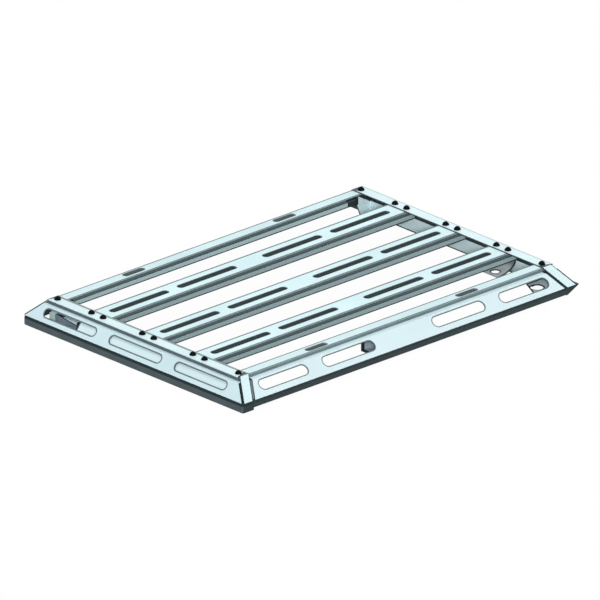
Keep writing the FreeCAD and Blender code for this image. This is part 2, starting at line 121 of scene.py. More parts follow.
# Widths and places of the painted dark lines and zones
SOFT_EDGE = 0.0004
JUST_ABOVE = 0.0001
EDGE_LINE = 0.0030
FOOT_LINE = 0.0045
END_SLOT_LINE = 0.0054
SIDE_SLOT_LINE = 0.0042
SLAT_SLOT_LINE = 0.0030
RAIL_SLOT_LINE = 0.0040
PANEL_SLOT_STRENGTH = 0.80
MEMBER_LINE_STRENGTH = 0.85
SLAT_EDGE_LINE = 0.0080
RAIL_EDGE_LINE = 0.0062
# Strength of the painted shade on the flanks of slats and rails
SLAT_FLANK_STRENGTH = 1.0
RAIL_FLANK_STRENGTH = 0.6
# Painted shade on the rails' ends: the inner side at the rear, and the outer side behind the corner seams
RAIL_DARK_END = 0.692
RAIL_SEAM_END = 0.735
TOP_FACE_DEPTH = 0.0005
RIM_DEPTH = 0.0029
GROOVE_START = 0.0032
GROOVE_STOP = 0.0172
GROOVE_SOFT = 0.0002
HOLLOW_BED_DEPTH = 0.022
FLANGE_OUTER_LINE = 0.0060
FLANGE_END_LINE = 0.0045
FLANGE_CUT_DEPTH = 0.0002
FLANGE_CUT_SOFT = 0.0001
# Painted shade in a band on the end beams' web, just under the flange
WEB_SHADE_BAND = (0.071, 0.087)
WEB_SHADE_BAND_SOFT = 0.0005
LEG_KNEE_LINE = 0.0100
LEG_SHADE_TIP_LEVEL = 0.1115
LEG_SHADE_ROOT_LEVEL = 0.0677
SHELF_FRONT_LINE = 0.0050
SHELF_SIDE_LINE = 0.0120
SHELF_HOLE_LINE = 0.0055
PLATE_EDGE_LINE = 0.0060
PLATE_HOLE_LINE = 0.0050
CLIP_LINE_RIGHT = (0.345, 0.056)
CLIP_LINE_LEFT = (0.475, 0.074)
CLIP_LINE_HALF_WIDTH = 0.0022
CLIP_END_LINE = 0.0120
LINER_END_LINE = 0.0080
BRACKET_END_LINE = 0.0160
SKIRT_NECK_HEIGHT = 0.0140

# Limits that tell faces apart by their normals
LEVEL_FACE = 0.5
FLAT_FACE = 0.9
FLANK_FACE = 0.5
SKIRT_SIDE_FACE = 0.75
CUT_EDGE_FACING = (0.30, 0.20)
RAIL_SIDE_TEST = 0.1
HOLLOW_WALL_TEST = 0.001

# Colours, linear
PALE = (0.708, 0.896, 0.930, 1.0)
# PALE_PANEL and PALE_SIDE are one pale coat, set darker on the end panels and lighter on the long panels to
# match how they are lit: painted shade and painted light
PALE_PANEL = (0.655, 0.845, 0.900, 1.0)
PALE_SIDE = (0.710, 0.872, 0.912, 1.0)
PALE_SLAT = (0.680, 0.900, 0.938, 1.0)
PALE_RAIL = (0.635, 0.840, 0.870, 1.0)
# Painted shade on slats and rails: flanks and top rim darker than the tops
FLANK_SHADE = (0.365, 0.480, 0.500, 1.0)
RIM_SHADE = (0.350, 0.440, 0.460, 1.0)
LINE = (0.020, 0.034, 0.038, 1.0)
FLECK_GREY = (0.10, 0.135, 0.15, 1.0)
# Painted shade on the flat tab on top of each corner strip
TAB_SHADE = (0.050, 0.066, 0.072, 1.0)
GROOVE_SHADE = (0.120, 0.170, 0.182, 1.0)
# Painted shade inside the hollows of slats and rails, seen through their slots
SLAT_INSIDE_SHADE = (0.100, 0.130, 0.140, 1.0)
RAIL_INSIDE_SHADE = (0.160, 0.205, 0.220, 1.0)
# Dark: the flanges' inner cut edges, and painted shade on the gussets behind the corner seams
DARK = (0.012, 0.018, 0.020, 1.0)
# Paler painted shade on the front gussets behind the long sides' seams
SEAM_SHADE = (0.150, 0.205, 0.220, 1.0)
# Painted shade: the dark strips in the reveals between the deck and the sloped panels
END_REVEAL_SHADE = (0.105, 0.135, 0.147, 1.0)
SIDE_REVEAL_SHADE = (0.140, 0.205, 0.215, 1.0)
BRACKET_GREY = (0.38, 0.48, 0.55, 1.0)
PLATE_GREY = (0.26, 0.30, 0.31, 1.0)
CLIP_GREY = (0.20, 0.26, 0.31, 1.0)
RUBBER_END = (0.088, 0.118, 0.130, 1.0)
# Painted shade: the skirts' recessed neck, and the side skirts and end skirt sides darker than the end
# skirts' fronts
NECK_SHADE = (0.034, 0.050, 0.055, 1.0)
SHADED_SIDE_RUBBER = (0.043, 0.061, 0.066, 1.0)
BLACK_STEEL = (0.003, 0.004, 0.005, 1.0)
FLOOR_SEEN = (0.95, 0.95, 0.95, 1.0)
FLOOR_BOUNCE = (0.22, 0.23, 0.235, 1.0)
WHITE = (1.0, 1.0, 1.0, 1.0)

# Detail of the pale powder coat
PALE_CLOUD_SCALE = 5.0
PALE_CLOUD_RANGE = (0.35, 0.65)
PALE_CLOUD_TONE = 0.95
FLECK_SCALE = 420.0
FLECK_DETAIL = 1.0
FLECK_RANGE = (0.62, 0.74)
FLECK_STRENGTH = 0.08
PALE_ROUGHNESS = (0.50, 0.62)
PALE_GRAIN_SCALE = 1300.0
PALE_GRAIN_STRENGTH = 0.10
PALE_GRAIN_DEPTH = 0.0004

# Detail of the mottled coats (sheet, rubber and steel), and what all coats share
MOTTLE_SCALE = 14.0
MOTTLE_DETAIL = 4.0
MOTTLE_RANGE = (0.4, 0.7)
MOTTLE_TONE = 1.25
MOTTLE_GRAIN_STRENGTH = 0.25
ROUGHNESS_RANGE = (0.3, 0.7)
CLOUD_DETAIL = 3.0
GRAIN_DETAIL = 2.0
SHINE = 0.15
STEEL_SHINE = 0.03

Finish = namedtuple("Finish", "grain_scale grain_depth rough_low rough_high")
GUSSET_SHEET = Finish(700.0, 0.0004, 0.55, 0.70)
GREY_SHEET = Finish(900.0, 0.0003, 0.45, 0.60)
SKIRT_RUBBER = Finish(520.0, 0.0006, 0.62, 0.78)
REVEAL_STRIP_FINISH = Finish(900.0, 0.0004, 0.60, 0.75)
BOLT_STEEL = Finish(1500.0, 0.0002, 0.45, 0.60)

FlangeLines = namedtuple("FlangeLines", "inner_width inner_strength outer_strength")
FLANGE_LINES = {"front": FlangeLines(0.0120, 0.70, 0.0), "rear": FlangeLines(0.0045, 0.90, 0.40)}

# Bolts
WASHER_RADIUS = 0.0136
WASHER_HEIGHT = 0.0018
WASHER_FOOT_CHAMFER = 0.0003
WASHER_TOP_DROP = 0.0004
WASHER_TOP_CHAMFER = 0.0005
HEAD_RADIUS = 0.0122
HEAD_HEIGHT = 0.0106
HEAD_SPREAD = 0.0002
DOME_STEPS = 7
DOME_START = 12.0
DOME_STEP = 11.0
SOCKET_RADIUS = 0.0040
SOCKET_RIM = 0.0005
SOCKET_DEPTH = 0.0026
SOCKET_SIDE = math.pi / 3
BOLT_SIDES = 36
BOLT_SHARP_ANGLE = math.radians(35)
BOLT_INSETS = {"front": 0.026, "rear": 0.031}
BOLT_PAIR_SPACING = 0.064
BOLT_CORNER_INSET = 0.0280
BOLT_TURN = 0.7

# Dark strips in the seams between the deck and the sloped panels, painted shade for the shadow in these
# reveals
REVEAL_STRIP_PROUD = 0.0028
REVEAL_STRIP_BASE = 0.0008
REVEAL_STRIP_STEPS = 8
END_STRIP_PAST_RAIL = 0.003

# Floor and light
FLOOR_SPAN = 14.0
FLOOR_LEVEL = -0.0003
FLOOR_GLOW = 0.97
AMBIENT_LEVEL = 0.30

SlotRow = namedtuple("SlotRow", "spans radius line")


def slot_row(stretches, radius, line):
    """A row of round-ended slots, mirrored about its middle, from the (start, end) of each."""
    spans = [((start + end) / 2, (end - start) / 2 - radius) for start, end in stretches]
    return SlotRow(spans, radius, line)


def end_row():
    """Slots of an end panel: one in the middle and one on each side."""
    pitch = (2 * HALF_WIDTH - 2 * END_SLOT_MARGIN + END_SLOT_SPACE) / END_SLOT_COUNT
    half = (pitch - END_SLOT_SPACE) / 2
    return slot_row([(-half, half), (pitch - half, pitch + half)], END_SLOT_RADIUS, END_SLOT_LINE)


def side_row():
    """Slots of a long panel: two on each side of a bare middle."""
    divide = SIDE_SPACE_SHARE * HALF_LENGTH
    near = (SIDE_BARE_MIDDLE / 2, divide - SIDE_SLOT_SPACE / 2)
    far = (divide + SIDE_SLOT_SPACE / 2, HALF_LENGTH - SIDE_SLOT_MARGIN)
    return slot_row([near, far], SIDE_SLOT_RADIUS, SIDE_SLOT_LINE)


def slat_row():
    """Slots of a slat: two on each side of a bare middle."""
    near = SLAT_BARE_MIDDLE / 2
    far = near + SLAT_SLOT_LENGTH + SLAT_SLOT_SPACE
    stretches = [(start, start + SLAT_SLOT_LENGTH) for start in (near, far)]
    return slot_row(stretches, SLAT_SLOT_RADIUS, SLAT_SLOT_LINE)


def rail_row():
    """Slots of a rail: one on each side of the middle."""
    half = RAIL_SLOT_LENGTH / 2
    stretches = [(RAIL_SLOT_MIDDLE - half, RAIL_SLOT_MIDDLE + half)]
    return slot_row(stretches, RAIL_SLOT_RADIUS, RAIL_SLOT_LINE)


# Sloped panels: axis is the one that the panel runs along, and end_at_seam its half length on the seam line
Panel = namedtuple("Panel", "axis lean row shift down end_at_seam end_lean")
END_PANEL = Panel(axis=1, lean=END_LEAN, row=end_row(), shift=END_SLOT_SHIFT, down=END_SLOT_DOWN,
                  end_at_seam=HALF_WIDTH - SEAM_GAP / 2, end_lean=SIDE_LEAN)
SIDE_PANEL = Panel(axis=0, lean=SIDE_LEAN, row=side_row(), shift=0.0, down=SIDE_SLOT_DOWN,
                   end_at_seam=HALF_LENGTH - CORNER_WIDTH - SEAM_GAP / 2, end_lean=END_LEAN)


class Graph:
    """A material's node tree with short ways to add nodes."""

    def __init__(self, name):
        self.material = bpy.data.materials.new(name)
        self.material.use_nodes = True
        self.tree = self.material.node_tree
        self.shader = self.tree.nodes["Principled BSDF"]

    def node(self, kind, inputs=None, **settings):
        """A new node with its settings, and its inputs linked or set."""
        made = self.tree.nodes.new(kind)
        for key, value in settings.items():
            setattr(made, key, value)
        for key, value in (inputs or {}).items():
            self.feed(made.inputs[key], value)
        return made

    def feed(self, socket, value):
        """Links a socket to another, or sets its constant value."""
        if isinstance(value, bpy.types.NodeSocket):
            self.tree.links.new(value, socket)
        else:
            socket.default_value = value

    def math(self, operation, a, b=0.0):
        return self.node("ShaderNodeMath", {0: a, 1: b}, operation=operation).outputs[0]

    def add(self, a, b):
        return self.math("ADD", a, b)

    def less(self, a, b):
        """a less b."""
        return self.math("SUBTRACT", a, b)

    def times(self, a, b):
        """A product, and for two masks the part that both cover."""
        return self.math("MULTIPLY", a, b)

    def either(self, a, b):
        """What one mask or the other covers."""
        return self.math("MAXIMUM", a, b)

    def size(self, value):
        """A value without its sign."""
        return self.math("ABSOLUTE", value)

    def length(self, a, b):
        """Length of a step by a and b at right angles."""
        return self.math("SQRT", self.add(self.times(a, a), self.times(b, b)))

    def above(self, value, limit):
        """1 where value is above a limit, with a sharp edge."""
        return self.math("GREATER_THAN", value, limit)

    def below(self, value, limit):
        """1 where value is below a limit, with a sharp edge."""
        return self.math("LESS_THAN", value, limit)

    def ramp(self, value, low, high, to_low=0.0, to_high=1.0):
        """Runs from to_low to to_high while value runs from low to high."""
        limits = {0: value, 1: low, 2: high, 3: to_low, 4: to_high}
        return self.node("ShaderNodeMapRange", limits).outputs[0]

    def under(self, value, limit, soft=SOFT_EDGE):
        """1 where value is below a limit, with a soft edge."""
        return self.ramp(value, limit + soft, limit - soft)

    def over(self, value, limit, soft=SOFT_EDGE):
        """1 where value is above a limit, with a soft edge."""
        return self.ramp(value, limit - soft, limit + soft)

    def band(self, value, low, high, soft):
        """1 where value lies between low and high, with soft edges."""
        return self.times(self.over(value, low, soft), self.under(value, high, soft))

    def mix(self, factor, a, b):
        """Colour a where factor is 0, and b where it is 1. A Mix node has its colours at these numbers."""
        made = self.node("ShaderNodeMix", data_type="RGBA")
        self.feed(made.inputs[0], factor)
        self.feed(made.inputs[6], a)
        self.feed(made.inputs[7], b)
        return made.outputs[2]

    def noise(self, vector, scale, detail):
        inputs = {"Vector": vector, "Scale": scale, "Detail": detail}
        return self.node("ShaderNodeTexNoise", inputs).outputs["Fac"]

    def place(self):
        """Place on the object, in its own frame."""
        return self.node("ShaderNodeTexCoord").outputs["Object"]

    def axes(self, vector):
        """The three parts of a vector."""
        return self.node("ShaderNodeSeparateXYZ", {0: vector}).outputs

    def true_normal(self):
        return self.node("ShaderNodeNewGeometry").outputs["True Normal"]

    def outside_slots(self, along, across, row):
        """Distance outside the nearest slot of a row, from places along the row and across it."""
        side = self.size(along)
        nearest = None
        for centre, half in row.spans:
            past = self.less(self.size(self.less(side, centre)), half)
            past = self.math("MAXIMUM", past, 0.0)
            reach = self.less(self.length(past, across), row.radius)
            nearest = reach if nearest is None else self.math("MINIMUM", nearest, reach)
        return nearest

    def grain(self, vector, scale, strength, distance):
        """Fine bumps in the surface."""
        height = self.noise(vector, scale, GRAIN_DETAIL)
        inputs = {"Strength": strength, "Distance": distance, "Height": height}
        bump = self.node("ShaderNodeBump", inputs)
        self.tree.links.new(bump.outputs[0], self.shader.inputs["Normal"])

    def finish(self, colour, roughness, shine):
        """The material with its colour, roughness and shine set."""
        self.feed(self.shader.inputs["Base Color"], colour)
        self.feed(self.shader.inputs["Roughness"], roughness)
        self.feed(self.shader.inputs["Specular IOR Level"], shine)
        return self.material


def toned(colour, share):
    """A colour made lighter or darker."""
    return tuple(min(1.0, share * part) for part in colour[:3]) + (1.0,)


def pale_coat(name, colour, zones):
    """Pale powder coat: faint clouding, fine grain and darker zones."""
    g = Graph(name)
    place = g.place()
    cloud = g.noise(place, PALE_CLOUD_SCALE, CLOUD_DETAIL)
    speck = g.noise(place, FLECK_SCALE, FLECK_DETAIL)
    coat = g.mix(g.ramp(cloud, *PALE_CLOUD_RANGE), colour, toned(colour, PALE_CLOUD_TONE))
    coat = g.mix(g.ramp(speck, *FLECK_RANGE, to_high=FLECK_STRENGTH), coat, FLECK_GREY)
    for mask, tone in zones(g, place):
        coat = g.mix(mask, coat, tone)
    g.grain(place, PALE_GRAIN_SCALE, PALE_GRAIN_STRENGTH, PALE_GRAIN_DEPTH)
    return g.finish(coat, g.ramp(cloud, *ROUGHNESS_RANGE, *PALE_ROUGHNESS), SHINE)


def mottled_coat(name, colour, finish, zones=None, shine=SHINE):
    """Sheet, rubber or blackened steel: mottled tone, grain and zones of other tones."""
    g = Graph(name)
    place = g.place()
    cloud = g.noise(place, MOTTLE_SCALE, MOTTLE_DETAIL)
    coat = g.mix(g.ramp(cloud, *MOTTLE_RANGE), colour, toned(colour, MOTTLE_TONE))
    for mask, tone in (zones(g, place) if zones else []):
        coat = g.mix(mask, coat, tone)
    g.grain(place, finish.grain_scale, MOTTLE_GRAIN_STRENGTH, finish.grain_depth)
    rough = g.ramp(cloud, *ROUGHNESS_RANGE, finish.rough_low, finish.rough_high)
    return g.finish(coat, rough, shine)


def edge_on(g, sheet_normal):
    """1 on the cut edges of a sheet, where the face turns away from the sheet's own direction."""
    inputs = {0: g.true_normal(), 1: sheet_normal}
    along = g.node("ShaderNodeVectorMath", inputs, operation="DOT_PRODUCT").outputs["Value"]
    return g.ramp(g.size(along), *CUT_EDGE_FACING)


def past_line(g, a, b, start, end):
    """Distance of a point (a, b) to the left of the line from start to end."""
    run = (Vector(end) - Vector(start)).normalized()
    across = g.times(g.less(b, start[1]), run.x)
    along = g.times(g.less(a, start[0]), run.y)
    return g.less(across, along)


def ring(g, a, b, centre, radius, width):
    """1 near a circle, inside or outside it."""
    reach = g.length(g.less(a, centre[0]), g.less(b, centre[1]))
    return g.under(g.size(g.less(reach, radius)), width)


def from_corner(g, spot):
    """Distance along the length from the line where an end panel and a long panel would meet."""
    drop = g.less(SEAM_LEVEL, spot[2])
    corner = g.add(g.times(drop, END_LEAN), HALF_LENGTH)
    return g.less(corner, g.size(spot[0]))


def panel_zones(panel, sheet_normal):
    """Zones of a sloped panel: dark cut edges, a dark line round each slot and along the two raked ends."""
    def zones(g, place):
        spot = g.axes(place)
        drop = g.less(SEAM_LEVEL, spot[2])
        down = g.less(g.times(drop, math.hypot(panel.lean, 1.0)), panel.down)
        along = g.less(spot[panel.axis], panel.shift)
        slots = g.under(g.outside_slots(along, down, panel.row), panel.row.line)
        end = g.add(g.times(drop, panel.end_lean), panel.end_at_seam)
        rake = g.under(g.less(end, g.size(spot[panel.axis])), EDGE_LINE)
        return [(g.times(slots, PANEL_SLOT_STRENGTH), LINE), (edge_on(g, sheet_normal), LINE), (rake, LINE)]
    return zones


def gusset_zones(g, place):
    """Zones of a front gusset, whose dark colour is painted shade seen through the corner seams: paler
    behind the seam of the long side.
    """
    inward = from_corner(g, g.axes(place))
    return [(g.above(inward, CORNER_WIDTH / 2), SEAM_SHADE)]


def corner_zones(sheet_normal, deck):
    """Zones of a corner strip: dark cut edges, lines along its two raked sides and painted shade on the tab
    on top.
    """
    def zones(g, place):
        spot = g.axes(place)
        raised = g.above(spot[2], deck + JUST_ABOVE)
        flat = g.above(g.axes(g.true_normal())[2], FLAT_FACE)
        inward = from_corner(g, spot)
        near = g.under(inward, SEAM_GAP / 2 + EDGE_LINE)
        far = g.over(inward, CORNER_WIDTH - SEAM_GAP / 2 - EDGE_LINE)
        # Painted shade on the flat tab
        tab = g.times(raised, flat)
        return [(g.either(near, far), LINE), (edge_on(g, sheet_normal), LINE), (tab, TAB_SHADE)]
    return zones


def beam_zones(low, high, deck, lines):
    """Zones of an end beam: lines along the flange's edges, a foot line on the web, and painted shade in a
    band on the web just under the flange.
    """
    outer = max(abs(low.x), abs(high.x))
    inner = min(abs(low.x), abs(high.x))

    def zones(g, place):
        spot = g.axes(place)
        away = g.size(spot[0])
        raised = g.above(spot[2], deck + JUST_ABOVE)
        outer_line = g.over(away, outer - FLANGE_OUTER_LINE)
        inner_line = g.under(away, inner + lines.inner_width)
        clipped = g.less(high.y, g.times(g.less(outer, away), FLANGE_CLIP))
        end_line = g.under(g.less(clipped, g.size(spot[1])), FLANGE_END_LINE)
        inner_cut = g.under(away, inner + FLANGE_CUT_DEPTH, FLANGE_CUT_SOFT)
        # Painted shade on the web under the flange
        band = g.band(spot[2], *WEB_SHADE_BAND, WEB_SHADE_BAND_SOFT)
        web = g.times(g.less(1.0, raised), g.either(g.under(spot[2], low.z + FOOT_LINE), band))
        return [(g.times(raised, g.times(outer_line, lines.outer_strength)), LINE),
                (g.times(raised, g.times(inner_line, lines.inner_strength)), LINE),
                (g.times(raised, end_line), LINE), (g.times(raised, inner_cut), DARK), (web, LINE)]
    return zones


def rail_end_shade(g, spot, turn):
    """Painted shade at the ends of a rail: on its inner side at the rear, and on its outer side behind the
    corner seams.
    """
    outward = g.times(spot[1], turn[1])
    inner = g.below(outward, -RAIL_SIDE_TEST)
    outer = g.above(outward, RAIL_SIDE_TEST)
    rear = g.times(inner, g.above(spot[0], RAIL_DARK_END))
    seams = g.times(outer, g.above(g.size(spot[0]), RAIL_SEAM_END))
    return [(g.either(rear, seams), LINE)]


def member_zones(low, high, slot_y, row, inside, flank, edge_line, ends=None):
    """Zones of a slat or rail: lines along edges and round slots, a foot line, and painted shade on the
    flanks and the rim, in the grooves and inside the hollow.
    """
    middle = (low.y + high.y) / 2
    half = (high.y - low.y) / 2

    def zones(g, place):
        spot = g.axes(place)
        turn = g.axes(g.true_normal())
        level = g.above(turn[2], LEVEL_FACE)
        steep = g.below(turn[2], LEVEL_FACE)
        raised = g.above(spot[2], high.z - TOP_FACE_DEPTH)
        off = g.less(spot[1], middle)
        edge = g.over(g.size(off), half - edge_line)
        slots = g.under(g.outside_slots(spot[0], g.less(spot[1], slot_y), row), row.line)
        lines = g.times(g.times(raised, level), g.either(edge, slots))
        # Painted shade: flanks, grooves and rim darker than the top, and the hollow's walls and bed dark
        flanks = g.above(g.size(turn[1]), FLANK_FACE)
        groove = g.band(spot[2], high.z - GROOVE_STOP, high.z - GROOVE_START, GROOVE_SOFT)
        rim = g.times(g.above(spot[2], high.z - RIM_DEPTH), steep)
        foot = g.times(g.under(spot[2], low.z + FOOT_LINE), steep)
        walls = g.below(g.times(off, turn[1]), -HOLLOW_WALL_TEST)
        bed = g.times(level, g.below(spot[2], high.z - HOLLOW_BED_DEPTH))
        top = [(g.times(lines, MEMBER_LINE_STRENGTH), LINE)]
        sides = [(g.times(flanks, flank), FLANK_SHADE), (groove, GROOVE_SHADE)]
        dark_ends = ends(g, spot, turn) if ends else []
        return top + sides + dark_ends + [(rim, RIM_SHADE), (foot, LINE), (g.either(walls, bed), inside)]
    return zones


def end_lines(axis, limit, width, both=True):
    """Zones of a plate with a dark line at each end, or only at the end on the positive side."""
    def zones(g, place):
        reach = g.axes(place)[axis]
        if both:
            reach = g.size(reach)
        return [(g.over(reach, limit - width), LINE)]
    return zones


def leg_zones(low, high):
    """Zones of a leg: dark lines along its free edges, and painted shade on its upper part beside the
    flange.
    """
    tip = min(abs(low.x), abs(high.x))
    root = max(abs(low.x), abs(high.x))
    rake_line = ((tip, LEG_KNEE_LEVEL), (tip + LEG_RAKE, low.z))
    shade_line = ((tip, LEG_SHADE_TIP_LEVEL), (root, LEG_SHADE_ROOT_LEVEL))

    def zones(g, place):
        spot = g.axes(place)
        away = g.size(spot[0])
        rake = g.under(past_line(g, away, spot[2], *rake_line), EDGE_LINE)
        knee = g.times(g.above(spot[2], LEG_KNEE_LEVEL), g.under(away, tip + LEG_KNEE_LINE))
        edge = g.either(g.under(away, tip + EDGE_LINE), knee)
        foot = g.under(spot[2], low.z + EDGE_LINE)
        shade = g.above(past_line(g, away, spot[2], *shade_line), 0.0)
        return [(g.either(g.either(g.either(edge, rake), foot), shade), LINE)]
    return zones


def shelf_zones(low, high):
    """Zones of the corner shelf: dark lines along its slanted front, its inner side and round its hole."""
    front_line = ((low.x + SHELF_RAKE, high.y), (low.x, low.y))

    def zones(g, place):
        spot = g.axes(place)
        front = g.under(past_line(g, spot[0], spot[1], *front_line), SHELF_FRONT_LINE)
        inner = g.over(spot[1], high.y - SHELF_SIDE_LINE)
        hole = ring(g, spot[0], spot[1], SHELF_HOLE, SHELF_HOLE_RADIUS, SHELF_HOLE_LINE)
        return [(g.either(hole, g.either(front, inner)), LINE)]
    return zones


def plate_zones(g, place):
    """Zones of the rear plate: dark lines along its curved edge and round its hole."""
    spot = g.axes(place)
    edge = ring(g, spot[0], spot[1], PLATE_ARC_CENTRE, PLATE_ARC_RADIUS, PLATE_EDGE_LINE)
    hole = ring(g, spot[0], spot[1], PLATE_HOLE, PLATE_HOLE_RADIUS, PLATE_HOLE_LINE)
    return [(g.either(edge, hole), LINE)]


def clip_zones(g, place):
    """Zones of the front clip: pale above a slanted dark line, and a dark line at its right end."""
    spot = g.axes(place)
    above = past_line(g, spot[1], spot[2], CLIP_LINE_RIGHT, CLIP_LINE_LEFT)
    line = g.under(g.size(above), CLIP_LINE_HALF_WIDTH)
    end = g.under(spot[1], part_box("front_clip")[0].y + CLIP_END_LINE)
    return [(g.above(above, 0.0), PALE_PANEL), (g.either(line, end), LINE)]


def skirt_zones(neck_level):
    """Zones of an end skirt: painted shade on the recessed neck, and on its sides, as dark as the side
    skirts.
    """
    def zones(g, place):
        sides = g.above(g.size(g.axes(g.true_normal())[1]), SKIRT_SIDE_FACE)
        neck = g.above(g.axes(place)[2], neck_level)
        return [(sides, SHADED_SIDE_RUBBER), (neck, NECK_SHADE)]
    return zones


def dress(names, material):
    """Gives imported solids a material."""
    for name in names:
        slots = nodes[name].data.materials
        slots.clear()
        slots.append(material)


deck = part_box("middle_slat")[1].z
for end, sign in ENDS:
    normal = Vector((sign, 0.0, END_LEAN)).normalized()
    zones = panel_zones(END_PANEL, normal)
    dress([f"{end}_panel"], pale_coat(f"{end}_panel_coat", PALE_PANEL, zones))
    zones = beam_zones(*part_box(f"{end}_beam"), deck, FLANGE_LINES[end])
    dress([f"{end}_beam"], pale_coat(f"{end}_beam_coat", PALE, zones))
for side, sign in SIDES:
    normal = Vector((0.0, sign, SIDE_LEAN)).normalized()
    zones = panel_zones(SIDE_PANEL, normal)
    dress([f"{side}_panel"], pale_coat(f"{side}_panel_coat", PALE_SIDE, zones))
    strips = pale_coat(f"{side}_corner_coat", PALE, corner_zones(normal, deck))
    dress([f"front_{side}_corner", f"rear_{side}_corner"], strips)
    low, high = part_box(f"{side}_rail")
    outer = low.y if sign < 0 else high.y
    zones = member_zones(low, high, outer - sign * RAIL_SLOT_INSET, rail_row(), RAIL_INSIDE_SHADE,
                         RAIL_FLANK_STRENGTH, RAIL_EDGE_LINE, rail_end_shade)
    dress([f"{side}_rail"], pale_coat(f"{side}_rail_coat", PALE_RAIL, zones))
for name in SLATS:
    low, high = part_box(name)
    zones = member_zones(low, high, (low.y + high.y) / 2, slat_row(), SLAT_INSIDE_SHADE,
                         SLAT_FLANK_STRENGTH, SLAT_EDGE_LINE)
    dress([name], pale_coat(f"{name}_coat", PALE_SLAT, zones))

liner_end = end_lines(1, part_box("front_liner")[1].y, LINER_END_LINE, both=False)
dress(["front_liner"], pale_coat("liner_coat", PALE, liner_end))
legs = [f"{end}_{side}_leg" for end, _ in ENDS for side, _ in SIDES]
dress(legs, pale_coat("leg_coat", PALE, leg_zones(*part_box("rear_right_leg"))))
shelf = shelf_zones(*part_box("rear_right_shelf"))
dress(["rear_right_shelf"], pale_coat("shelf_coat", PALE, shelf))

# The gussets are dark as painted shade, so that the corner seams in front of them read dark
dress(["front_right_gusset", "front_left_gusset"],
      mottled_coat("front_gusset_coat", DARK, GUSSET_SHEET, gusset_zones))
dress(["rear_right_gusset", "rear_left_gusset"], mottled_coat("rear_gusset_coat", DARK, GUSSET_SHEET))
bracket_ends = end_lines(0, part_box("right_bracket")[1].x, BRACKET_END_LINE)
dress(["right_bracket"], mottled_coat("bracket_coat", BRACKET_GREY, GREY_SHEET, bracket_ends))
dress(["rear_plate"], mottled_coat("plate_coat", PLATE_GREY, GREY_SHEET, plate_zones))
dress(["front_clip"], mottled_coat("clip_coat", CLIP_GREY, GREY_SHEET, clip_zones))
neck = skirt_zones(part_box("front_skirt")[1].z - SKIRT_NECK_HEIGHT)
dress(["front_skirt", "rear_skirt"], mottled_coat("end_skirt_rubber", RUBBER_END, SKIRT_RUBBER, neck))
# The side skirts take the darker rubber tone: painted shade
dress(["right_skirt", "left_skirt"], mottled_coat("side_skirt_shaded_rubber", SHADED_SIDE_RUBBER, SKIRT_RUBBER))


def add_piece(name, mesh, material):
    """Links a new mesh that rides on the basket."""
    piece = bpy.data.objects.new(name, mesh)
    scene.collection.objects.link(piece)
    mesh.materials.append(material)
    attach(piece, "root")


def bridge(bm, loops):
    """Faces between each loop of points and the next."""
    for lower, upper in zip(loops, loops[1:]):
        for i in range(len(lower)):
            j = (i + 1) % len(lower)
            bm.faces.new((lower[i], lower[j], upper[j], upper[i]))


def closed_mesh(name, bm, loops):
    """A mesh of joined loops with both ends closed."""
    bm.faces.new(list(reversed(loops[0])))
    bridge(bm, loops)
    bm.faces.new(loops[-1])
    bmesh.ops.recalc_face_normals(bm, faces=bm.faces)
    mesh = bpy.data.meshes.new(name)
    bm.to_mesh(mesh)
    bm.free()
    return mesh


def bolt_profile():
    """Radius and height of the washer and the domed head, from the foot up to the rim of the socket."""
    profile = [(WASHER_RADIUS - WASHER_FOOT_CHAMFER, 0.0), (WASHER_RADIUS, WASHER_FOOT_CHAMFER),
               (WASHER_RADIUS, WASHER_HEIGHT - WASHER_TOP_DROP),
               (WASHER_RADIUS - WASHER_TOP_CHAMFER, WASHER_HEIGHT), (HEAD_RADIUS, WASHER_HEIGHT)]
    for i in range(DOME_STEPS):
        angle = math.radians(DOME_START + DOME_STEP * i)
        radius = HEAD_RADIUS * math.cos(angle) + HEAD_SPREAD
        profile.append((radius, WASHER_HEIGHT + HEAD_HEIGHT * math.sin(angle)))
    return profile + [(SOCKET_RADIUS + SOCKET_RIM, WASHER_HEIGHT + HEAD_HEIGHT)]


def socket_reach(angle):
    """Distance from a bolt's axis to its hexagon socket's side."""
    within = angle % SOCKET_SIDE - SOCKET_SIDE / 2
    return SOCKET_RADIUS * math.cos(SOCKET_SIDE / 2) / math.cos(within)


def bolt_mesh():
    """Round-headed bolt with a hexagon socket on a washer, standing on z = 0."""
    bm = bmesh.new()
    angles = [2 * math.pi * i / BOLT_SIDES for i in range(BOLT_SIDES)]
    top = WASHER_HEIGHT + HEAD_HEIGHT
    loops = []
    for radius, height in bolt_profile():
        loops.append([bm.verts.new((radius * math.cos(a), radius * math.sin(a), height)) for a in angles])
    for height in (top, top - SOCKET_DEPTH):
        points = [(socket_reach(a) * math.cos(a), socket_reach(a) * math.sin(a), height) for a in angles]
        loops.append([bm.verts.new(point) for point in points])
    mesh = closed_mesh("bolt", bm, loops)
    for polygon in mesh.polygons:
        polygon.use_smooth = True
    mesh.set_sharp_from_angle(angle=BOLT_SHARP_ANGLE)
    return mesh


